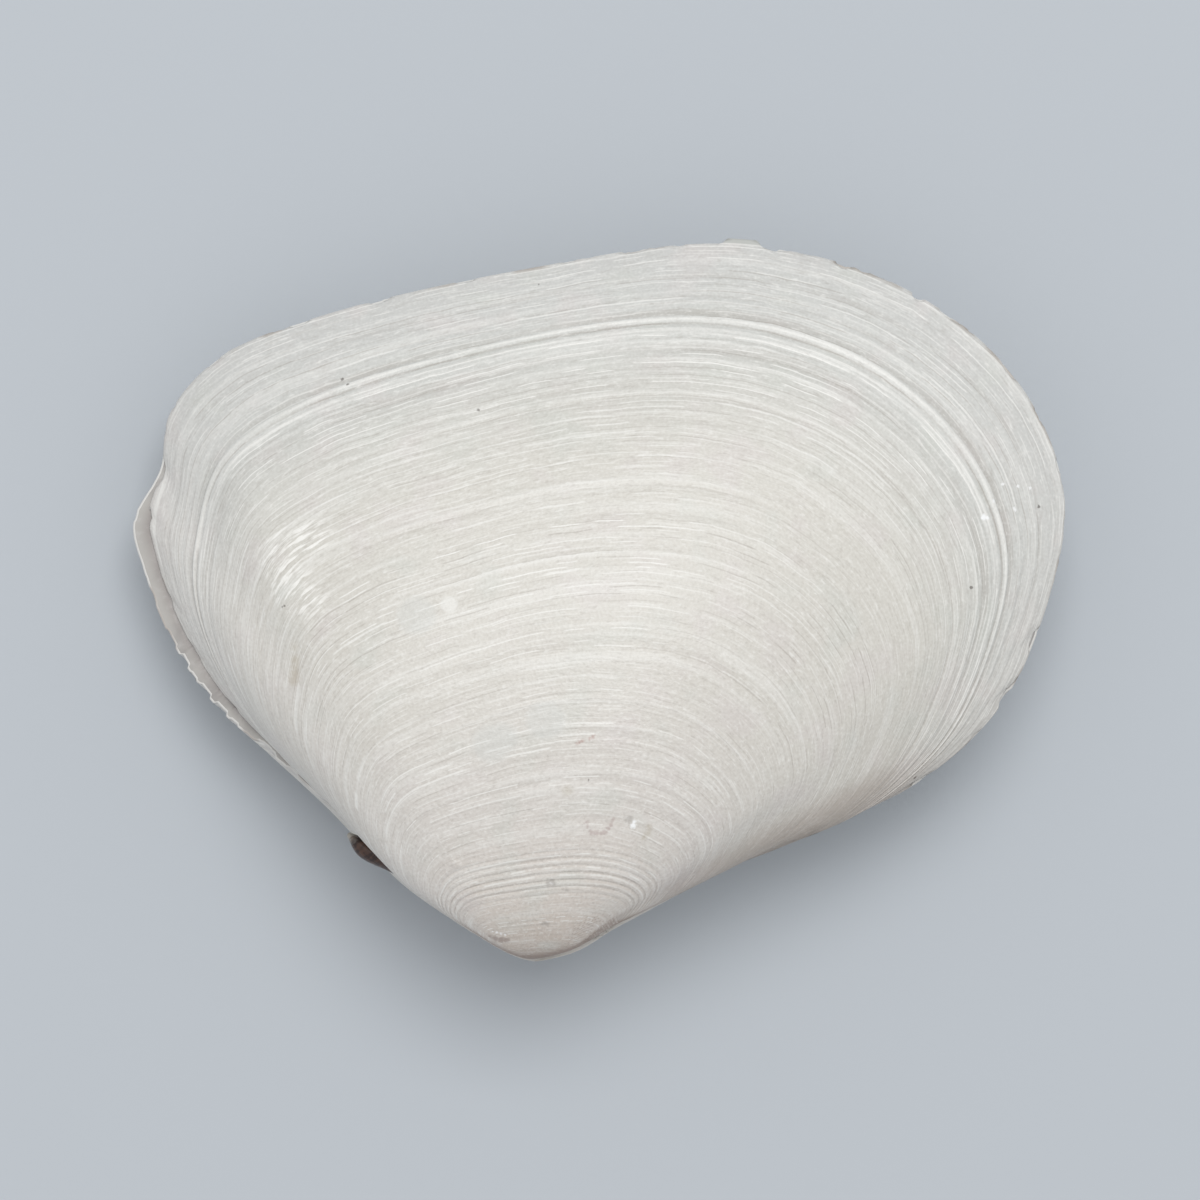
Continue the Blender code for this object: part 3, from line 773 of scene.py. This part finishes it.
# Small marks on the left valve, in groups of one colour: colour, strength, softness of the edge in
# millimetres, and each spot's way round, age and radius.
MARKS = [
    ((0.62, 0.63, 0.60), 0.35, 0.6, [
        (104.0, 0.559, 0.9), (97.9, 0.371, 0.9), (96.3, 0.373, 0.7), (89.7, 0.383, 0.9),
    ]),
    ((0.44, 0.38, 0.27), 0.28, 0.5, [(85.0, 0.293, 0.08), (118.2, 0.624, 0.0)]),
    ((0.40, 0.32, 0.20), 0.36, 0.6, [
        (119.1, 0.614, 0.0), (119.7, 0.610, 0.0), (120.3, 0.608, 0.08), (120.9, 0.608, 0.06),
    ]),
    ((0.30, 0.225, 0.20), 0.60, 0.28, [
        (117.5, 0.098, 0.0), (115.0, 0.089, 0.1), (112.4, 0.084, 0.14), (109.4, 0.081, 0.1),
    ]),
    # A painted highlight along the glossy chip by the beak.
    ((0.95, 0.94, 0.93), 0.85, 0.13, [
        (113.2, 0.104, 0.0), (111.3, 0.100, 0.03), (109.4, 0.096, 0.04), (107.6, 0.092, 0.0),
    ]),
    ((0.33, 0.21, 0.20), 0.38, 0.22, [
        (79.8, 0.252, 0.0), (79.2, 0.247, 0.0), (78.0, 0.2395, 0.04), (77.4, 0.239, 0.05),
        (76.8, 0.239, 0.05), (75.6, 0.239, 0.0), (75.0, 0.241, 0.05), (74.4, 0.246, 0.05),
        (74.1, 0.251, 0.03), (74.2, 0.258, 0.0),
    ]),
    ((0.40, 0.33, 0.22), 0.33, 0.35, [(65.8, 0.261, 0.0), (65.3, 0.254, 0.0), (65.5, 0.246, 0.0)]),
    ((0.36, 0.33, 0.30), 0.45, 0.30, [
        (85.5, 0.170, 0.16), (70.8, 0.262, 0.1), (84.8, 0.105, 0.1), (79.9, 0.160, 0.0),
    ]),
    ((0.80, 0.77, 0.74), 0.80, 0.12, [(85.5, 0.170, 0.06)]),
    ((0.38, 0.20, 0.17), 0.50, 0.19, [
        (84.5, 0.351, 0.0), (84.1, 0.353, 0.0), (83.7, 0.354, 0.0), (82.5, 0.357, 0.02),
        (82.1, 0.360, 0.02),
    ]),
    ((0.10, 0.08, 0.07), 0.70, 0.10, [
        (81.3, 0.306, 0.02), (104.9, 0.903, 0.06), (104.6, 0.893, 0.05), (95.5, 0.804, 0.04),
        (90.6, 0.972, 0.03), (116.9, 0.673, 0.03), (116.6, 0.670, 0.045), (116.3, 0.667, 0.03),
        (49.6, 0.955, 0.03), (49.0, 0.825, 0.04), (29.4, 0.924, 0.04),
    ]),
    # In the next two groups, white glints painted on ridges near the front margin, and a white spot on the
    # healed lump.
    ((0.93, 0.93, 0.92), 0.95, 0.16, [
        (69.3, 0.256, 0.10), (69.5, 0.261, 0.04), (52.6, 0.872, 0.10), (52.3, 0.877, 0.04),
    ]),
    ((0.93, 0.93, 0.92), 0.75, 0.12, [
        (52.8, 0.893, 0.06), (53.1, 0.913, 0.05), (51.0, 0.917, 0.07), (52.0, 0.932, 0.04),
        (51.2, 0.948, 0.03),
    ]),
    ((0.86, 0.85, 0.81), 0.42, 0.22, [(100.4, 0.559, 0.42)]),
]


def spot_distance(tree, place, margin, spots):
    """Metres to the edge of the nearest of these spots, negative inside one."""
    nearest = None
    for way, age, radius in spots:
        centre = smooth_outside(margin, np.array([way]), np.array([age])) + np.array([0, 0, EDGE_HEIGHT])
        off = distance(tree, place, placed(centre, 1)[0])
        if radius:
            off = calc(tree, "SUBTRACT", off, radius * MM)
        nearest = off if nearest is None else calc(tree, "MINIMUM", nearest, off)
    return nearest


def growth_threads(tree, laid, count, half_width, run, seed, shown):
    """Fine broken lines of growth, with some runs of each line shown and the rest bare."""
    axes = add_node(tree, "SeparateXYZ", {0: laid})
    scaled = times(tree, axes.outputs[1], count)
    index = calc(tree, "FLOOR", scaled)
    chance = add_node(tree, "TexWhiteNoise", {"W": calc(tree, "ADD", index, seed)}, noise_dimensions="1D")
    centre = calc(tree, "ADD", 0.25, times(tree, chance.outputs["Value"], 0.5))
    off = calc(tree, "ABSOLUTE", calc(tree, "SUBTRACT", calc(tree, "FRACT", scaled), centre))
    line = between(tree, off, half_width * count, half_width * count * THREAD_CORE)
    along = {0: times(tree, axes.outputs[0], run), 1: times(tree, index, THREAD_SPACING)}
    runs = noise(tree, add_node(tree, "CombineXYZ", along).outputs[0], (1, 1, 1), (seed, 0, seed), 0)
    strength = add_node(tree, "SeparateColor", {0: chance.outputs["Color"]}).outputs[1]
    strength = times(tree, calc(tree, "POWER", strength, 2.0), 1 - THREAD_LEAST)
    strength = calc(tree, "ADD", THREAD_LEAST, strength)
    return times(tree, line, between(tree, runs, shown, shown + THREAD_FADE), strength)


def chalk(margin):
    """Satin, slightly chalky shell, with fine broken lines of growth."""
    made, tree, shader, place = new_finish("shell")
    growth = add_node(tree, "UVMap", uv_map="growth").outputs[0]
    crest = add_node(tree, "Attribute", attribute_name="crest").outputs["Fac"]
    shade_mask = add_node(tree, "Attribute", attribute_name="shade_mask").outputs["Fac"]
    axes = add_node(tree, "SeparateXYZ", {0: growth})
    way, age = axes.outputs[0], axes.outputs[1]

    sway = calc(tree, "SUBTRACT", noise(tree, place, SWAY_SCALE, (0, 0, 0), 2, 0.6), 0.5)
    swayed = add_node(tree, "CombineXYZ", {1: times(tree, sway, LINE_SWAY)})
    laid = add_node(tree, "VectorMath", {0: growth, 1: swayed.outputs[0]}).outputs[0]

    dashes = noise(tree, laid, DASH_SCALE, (3, 7, 1), 2, 0.65)
    bands = noise(tree, laid, BAND_SCALE, (1, 2, 5), 0)
    tints = noise(tree, place, TINT_SCALE, (1, 9, 6), 1, 0.6)
    grain = noise(tree, place, GRAIN_SCALE, (0, 5, 0), 0)
    sheen_streaks = noise(tree, laid, SHEEN_STREAK_SCALE, (5, 2, 7), 2, 0.55)
    wide_white = growth_threads(tree, laid, *WIDE_THREADS)
    thin_white = growth_threads(tree, laid, *THIN_THREADS)
    dark = growth_threads(tree, laid, *DARK_THREADS)
    slope_wide = growth_threads(tree, laid, *SLOPE_THREADS)
    slope = times(tree, *within(tree, way, REAR_SLOPE_WAY))
    bare = times(tree, *within(tree, way, BARE_WAY), *within(tree, age, BARE_AGE), BARE_LOSS)
    lined = calc(tree, "SUBTRACT", 1.0, bare)
    rim = between(tree, age, *RIM_AGE)
    outstanding_lip = between(tree, age, *OUTSTANDING_LIP_AGE)
    sheen_spots = between(tree, spot_distance(tree, place, margin, SHEEN_SPOTS), SHEEN_SOFTNESS * MM, 0.0)
    # The grooves between the young ridges, lower in the bump and darkened below as painted shade.
    ridged = calc(tree, "FRACT", times(tree, age, 1 / YOUNG_RIDGE_STEP))
    ridged = calc(tree, "ABSOLUTE", calc(tree, "SUBTRACT", ridged, 0.5))
    ridged = times(tree, between(tree, ridged, 0.30, 0.47), *within(tree, age, YOUNG_AGE))
    front_flank_shade = times(tree, between(tree, way, *FRONT_FLANK_WAY), between(tree, age, *FRONT_FLANK_AGE))

    # From the ground colour up: where each layer shows, how strongly, and its colour.
    colour = ramp(tree, age, AGE_COLOURS)
    layers = [
        (between(tree, tints, 0.53, 0.75), 0.40, GREEN_GREY),
        (between(tree, tints, 0.47, 0.25), 0.40, ROSE_GREY),
        # Painted brown shade on the front flank, which turns from the light.
        (front_flank_shade, 0.50, BROWN_AND_SHADE),
        (slope, 0.40, SLOPE_GREY),
        # Whiter crests and browner grooves of the growth lines: partly the shell's own colour, partly
        # painted light and shade of their relief.
        (between(tree, crest, 0.0, 0.11), 0.70, CHALK_WHITE_AND_HIGHLIGHT),
        (between(tree, crest, 0.0, -0.11), 0.42, BROWN_AND_SHADE),
        # Painted shade in the grooves between the young ridges.
        (ridged, 0.20, BROWN_AND_SHADE),
        (between(tree, bands, 0.50, 0.78), 0.24, CHALK_WHITE_AND_HIGHLIGHT),
        (dark, 0.42, BROWN_AND_SHADE),
        (between(tree, dashes, 0.48, 0.26), 0.24, BROWN_AND_SHADE),
        (between(tree, dashes, 0.54, 0.74), 0.46, CHALK_WHITE_AND_HIGHLIGHT),
        (wide_white, times(tree, lined, 0.75), CHALK_WHITE_AND_HIGHLIGHT),
        (thin_white, times(tree, lined, 0.85), CHALK_WHITE_AND_HIGHLIGHT),
        (slope_wide, times(tree, slope, 0.95), CHALK_WHITE_AND_HIGHLIGHT),
        # Painted whitish sheen in streaks on the glossy spots of the rear ridge.
        (between(tree, sheen_streaks, 0.47, 0.62), times(tree, sheen_spots, 0.85), SHEEN_WHITE),
        (between(tree, grain, 0.50, 0.25), 0.08, BROWN_AND_SHADE),
        (between(tree, grain, 0.52, 0.78), 0.15, CHALK_WHITE_AND_HIGHLIGHT),
        # The very edge whiter: the chalk of the edge, with a painted highlight where it catches the light.
        (rim, 0.4, CHALK_WHITE_AND_HIGHLIGHT),
        # The lip that stands out past the margin, greyer: partly its own colour, partly painted shade.
        (outstanding_lip, 0.75, LIP_GREY_AND_SHADE),
        (between(tree, shade_mask, 0.0, -0.5), 0.8, LOWER_BEAK_GREY),
        # Painted brown shade on the steep faces beside the beak and on the front flank along the hinge line.
        (between(tree, shade_mask, 0.05, 0.9), calc(tree, "ADD", 0.55, times(tree, tints, 0.4)), PAINTED_SHADE_BROWN),
    ]
    for share, strength, tint in layers:
        colour = mixed(tree, times(tree, share, strength), colour, tint)
    edge = times(tree, between(tree, age, *BROWN_EDGE_AGE), between(tree, tints, 0.52, 0.62))
    colour = mixed(tree, times(tree, edge, 0.5), colour, EDGE_BROWN)
    ragged = times(tree, calc(tree, "SUBTRACT", grain, 0.5), MARK_RAGGEDNESS * MM)
    for mark_colour, strength, softness, spots in MARKS:
        off = calc(tree, "ADD", spot_distance(tree, place, margin, spots), ragged)
        share = times(tree, between(tree, off, softness * MM, 0.0), strength)
        colour = mixed(tree, share, colour, mark_colour)
    tree.links.new(colour, shader.inputs["Base Color"])

    rough = times(tree, between(tree, dashes, 0.50, 0.70), DASH_ROUGHNESS)
    rough = calc(tree, "ADD", SATIN_ROUGHNESS, rough)
    rough = calc(tree, "SUBTRACT", rough, times(tree, sheen_spots, SHEEN_SPOT_POLISH))
    tree.links.new(rough, shader.inputs["Roughness"])
    height = calc(tree, "ADD", times(tree, dashes, DASH_RELIEF), times(tree, grain, GRAIN_RELIEF))
    height = calc(tree, "SUBTRACT", height, times(tree, ridged, YOUNG_RIDGE_RELIEF))
    roughen(tree, shader, height, CHALK_RELIEF)
    return made


PORCELAIN_GREY = (0.33, 0.31, 0.297)
PORCELAIN_CREAM = (0.47, 0.45, 0.42)
PORCELAIN_SHADE = (0.24, 0.205, 0.195)
PORCELAIN_SPECK = (0.60, 0.58, 0.56)
PORCELAIN_ROUGHNESS = 0.3


def porcelain():
    """The smooth inside of the shell: grey with creamy patches, and darker where the flat rim ends, partly
    as painted shadow.
    """
    made, tree, shader, place = new_finish("shell_inside")
    clouds = noise(tree, place, (260, 260, 260), (0, 3, 0), 3)
    inwards = add_node(tree, "Attribute", attribute_name="shade_mask").outputs["Fac"]
    specks = noise(tree, place, (2500, 2500, 2500), (7, 3, 0), 2)
    colour = mixed(tree, between(tree, clouds, 0.38, 0.62), PORCELAIN_GREY, PORCELAIN_CREAM)
    # Darker where the flat of the rim ends, under the other valve's edge: a purple-grey of its own and a
    # painted shadow.
    colour = mixed(tree, times(tree, between(tree, inwards, 0.0, 0.55), 0.70), colour, PORCELAIN_SHADE)
    colour = mixed(tree, times(tree, between(tree, specks, 0.5, 0.8), 0.25), colour, PORCELAIN_SPECK)
    tree.links.new(colour, shader.inputs["Base Color"])
    shader.inputs["Roughness"].default_value = PORCELAIN_ROUGHNESS
    return made


LEFT_RIM_WIDTH = [(0, 0.8), (82, 0.8), (164, 0.8)]
LEFT_RIM_SLOPE = [(0, 0), (82, 0), (164, 0)]
LEFT_SEED = 3
left_margin = Margin(FRONT_AND_BELLY + LEFT_REAR, LEFT_RIM_WIDTH, LEFT_CHIPS)
shell_finishes = (chalk(left_margin), porcelain())
left_valve = valve("left_valve_shell", left_margin, 1, LEFT_SEED, LEFT_RIM_SLOPE, (0, 0), shell_finishes)
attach(left_valve, "root")
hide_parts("left_valve")


# The right valve is the lower half, on which the shell lies. It grew as the left one did, and reaches a
# little further round the rear end, where its smooth inside shows past the left valve's edge.
# Its rim's slope and width go by the way round the margin, and its chips are given as the left valve's are.
RIGHT_REAR = [
    (-24.7, 31.1), (-26.45, 27.6), (-25.7, 24.4), (-24.0, 20.1), (-21.1, 15.8), (-16.4, 11.7), (-12.0, 7.7),
    (-7.0, 2.8), (-3.7, 0.6),
]
RIGHT_RIM_SLOPE = [(0, 0), (110, 0), (122, 0.02), (132, 0.05), (142, 0.04), (152, 0), (164, 0)]
RIGHT_RIM_WIDTH = [(0, 0.8), (106, 0.8), (116, 2.4), (146, 2.4), (153, 0.8), (164, 0.8)]
RIGHT_CHIPS = [
    (76.0, 0.15, 1.2, 0.4), (65.4, 0.2, 0.5, 0.25), (52.0, 0.12, 0.9, 0.3), (34.6, 0.2, 1.0, 0.5),
    (90.5, 0.1, 0.7, 0.3), (104.0, 0.1, 0.9, 0.4), (129.8, 0.05, 0.6, 0.3), (132.7, 0.12, 0.7, 0.15),
    (134.4, 0.2, 0.5, 0.12), (135.6, 0.08, 0.4, 0.12), (136.8, 0.2, 0.6, 0.12), (138.4, 0.22, 0.6, 0.15),
    (139.6, 0.12, 0.4, 0.12), (142.3, 0.18, 0.9, 0.2), (144.6, 0.12, 0.5, 0.2),
]
RIGHT_BEAK_SHIFT = (0.2, -0.15)
RIGHT_SEED = 8
right_margin = Margin(FRONT_AND_BELLY + RIGHT_REAR, RIGHT_RIM_WIDTH, RIGHT_CHIPS)
right_valve = valve(
    "right_valve_shell", right_margin, -1, RIGHT_SEED, RIGHT_RIM_SLOPE, RIGHT_BEAK_SHIFT, shell_finishes
)
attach(right_valve, "root")
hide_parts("right_valve")


# The ligament is a short strap of dark horn in its bed behind the beaks. It holds the valves together and
# pulls them open when the animal lets go.
LIGAMENT_LINE = [(-2.4, 0.8), (-4.8, 2.1), (-7.3, 4.0), (-9.55, 5.45), (-11.15, 6.35), (-12.35, 7.4)]
LIGAMENT_HALF_DEPTH = [0.12, 0.22, 0.3, 0.5, 0.62, 0.14]
LIGAMENT_HALF_WIDTH = 0.9
LIGAMENT_RINGS = 90
LIGAMENT_SIDES = 60
LIGAMENT_STEPS = 30  # of its line, between two of the points above
LIGAMENT_ROUNDNESS = 0.6
HORN_DARK = (0.030, 0.014, 0.011)
HORN_LIGHT = (0.095, 0.048, 0.032)
# The pale tip is a highlight painted on the strap's rear end.
TIP_HIGHLIGHT = (0.42, 0.39, 0.34)
TIP_AT = (*LIGAMENT_LINE[-1], 0.3)
TIP_REACH = (1.4, 0.8)  # millimetres from the tip at which the pale part ends and at which it is full
TIP_RAGGEDNESS = 0.6
HORN_ROUGHNESS = 0.36
HORN_RELIEF = 0.04
FIBRE_HEADING = math.radians(-38)


def horn():
    """Dark red-brown horn, fibrous along the strap, with a pale highlight painted on its rear tip."""
    made, tree, shader, place = new_finish("ligament")
    turned = add_node(tree, "VectorRotate", {0: place, "Angle": FIBRE_HEADING}, rotation_type="Z_AXIS")
    turned = turned.outputs[0]
    fibres = noise(tree, turned, (700, 700, 6000), (0, 0, 0), 2)
    fibres = calc(tree, "ADD", fibres, noise(tree, turned, (900, 5200, 900), (3, 0, 0), 2))
    colour = mixed(tree, between(tree, fibres, 0.85, 1.2), HORN_DARK, HORN_LIGHT)
    off = distance(tree, place, placed(np.array([TIP_AT]), 1)[0])
    off = calc(tree, "ADD", off, times(tree, fibres, TIP_RAGGEDNESS * MM))
    # Painted highlight on the strap's rear tip.
    colour = mixed(tree, between(tree, off, *(reach * MM for reach in TIP_REACH)), colour, TIP_HIGHLIGHT)
    tree.links.new(colour, shader.inputs["Base Color"])
    shader.inputs["Roughness"].default_value = HORN_ROUGHNESS
    roughen(tree, shader, fibres, HORN_RELIEF)
    return made


def rolled_strap():
    """One flat sheet, rolled round the strap's line, with its ends drawn together."""
    shape = bmesh.new()
    bmesh.ops.create_grid(shape, x_segments=LIGAMENT_SIDES, y_segments=LIGAMENT_RINGS, size=0.5)
    flat = np.array([vert.co for vert in shape.verts])
    turn = (flat[:, 0] + 0.5) * 2 * math.pi
    share = flat[:, 1] + 0.5
    line = curve_through(LIGAMENT_LINE, LIGAMENT_STEPS)
    heading = np.gradient(line, axis=0)
    heading /= np.linalg.norm(heading, axis=1)[:, None]
    deep = curve_through([(depth, 0.0) for depth in LIGAMENT_HALF_DEPTH], LIGAMENT_STEPS)[:, 0]
    steps = np.arange(len(line))
    at = (1 - np.cos(math.pi * share)) / 2 * (len(line) - 1)
    centre = np.stack([np.interp(at, steps, line[:, axis]) for axis in (0, 1)], axis=1)
    x, y = (np.interp(at, steps, heading[:, axis]) for axis in (0, 1))
    out = np.stack([y, -x], axis=1)
    closing = np.sin(math.pi * share)
    half_width = LIGAMENT_HALF_WIDTH * closing**LIGAMENT_ROUNDNESS
    half_depth = np.interp(at, steps, deep) * np.clip(closing * 6, 0, 1) ** 0.5
    points = np.zeros((len(flat), 3))
    points[:, :2] = centre + out * (half_depth * np.cos(turn))[:, None]
    points[:, 2] = half_width * np.sin(turn)
    for vert, point in zip(shape.verts, placed(points, 1)):
        vert.co = point
    bmesh.ops.remove_doubles(shape, verts=shape.verts, dist=DOUBLES_WITHIN)
    bmesh.ops.recalc_face_normals(shape, faces=shape.faces)
    return object_of("ligament_strap", shape, horn())


ligament = rolled_strap()
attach(ligament, "root")
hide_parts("ligament")


# The floor is a wide sheet of plain pale paper, cut square and laid flat. The shell lies loose on it, and
# it is no part of the shell.
FLOOR_SIZE = 3.0
FLOOR_GREY = (0.50, 0.53, 0.56)
FLOOR_ROUGHNESS = 0.9
floor_shape = bmesh.new()
bmesh.ops.create_grid(floor_shape, x_segments=1, y_segments=1, size=FLOOR_SIZE / 2)
paper = bpy.data.materials.new("pale_floor")
paper.use_nodes = True
paper.node_tree.nodes["Principled BSDF"].inputs["Base Color"].default_value = (*FLOOR_GREY, 1)
paper.node_tree.nodes["Principled BSDF"].inputs["Roughness"].default_value = FLOOR_ROUGHNESS
floor = object_of("floor", floor_shape, paper)


# The light is an even pale sky and one soft square lamp, 1 m above the floor on the belly's side and turned
# to face the shell.
SKY_COLOUR = (0.95, 0.97, 1.0)
SKY_STRENGTH = 0.63
LAMP_AT = (0.05, 0.42, 1.0)
LAMP_SIZE = 0.6
LAMP_POWER = 6.1
sky = bpy.data.worlds.new("studio")
sky.use_nodes = True
sky.node_tree.nodes["Background"].inputs["Color"].default_value = (*SKY_COLOUR, 1)
sky.node_tree.nodes["Background"].inputs["Strength"].default_value = SKY_STRENGTH
bpy.context.scene.world = sky
bpy.context.scene.view_settings.view_transform = "Standard"
softbox = bpy.data.lights.new("key", "AREA")
softbox.shape = "SQUARE"
softbox.size = LAMP_SIZE
softbox.energy = LAMP_POWER
lamp = bpy.data.objects.new("key", softbox)
bpy.context.scene.collection.objects.link(lamp)
lamp.location = LAMP_AT
lamp.rotation_mode = "QUATERNION"
lamp.rotation_quaternion = (-Vector(LAMP_AT)).to_track_quat("-Z", "Y")


# The camera looks down along the shell's own height from 300 mm, tilted 4 degrees towards the belly. LOOK_AT
# is in the shell's frame, and FRAME_SHIFT moves the aim to the right and up in the picture, in millimetres.
CAMERA_DISTANCE = 300.0
VIEW_WIDTH = 77.42
LOOK_AT = Vector((4.0, 22.0, 0.0))
FRAME_SHIFT = (-0.13, 0.45)
VIEW_TILT = math.radians(4)
SENSOR_WIDTH = 36
rest = Euler((REST_TIP, REST_ROLL, 0.0)).to_matrix()
towards = rest @ Vector((0, -math.sin(VIEW_TILT), math.cos(VIEW_TILT)))
right = rest @ Vector((1, 0, 0))
up = towards.cross(right)
camera_data = bpy.data.cameras.new("camera")
camera_data.sensor_width = SENSOR_WIDTH
camera_data.lens = SENSOR_WIDTH * CAMERA_DISTANCE / VIEW_WIDTH
camera = bpy.data.objects.new("camera", camera_data)
bpy.context.scene.collection.objects.link(camera)
aim = rest @ LOOK_AT + BEAKS_AT + FRAME_SHIFT[0] * right + FRAME_SHIFT[1] * up
camera.location = (aim + towards * CAMERA_DISTANCE) * MM
camera.rotation_euler = Matrix((right, up, towards)).transposed().to_euler()
bpy.context.scene.camera = camera
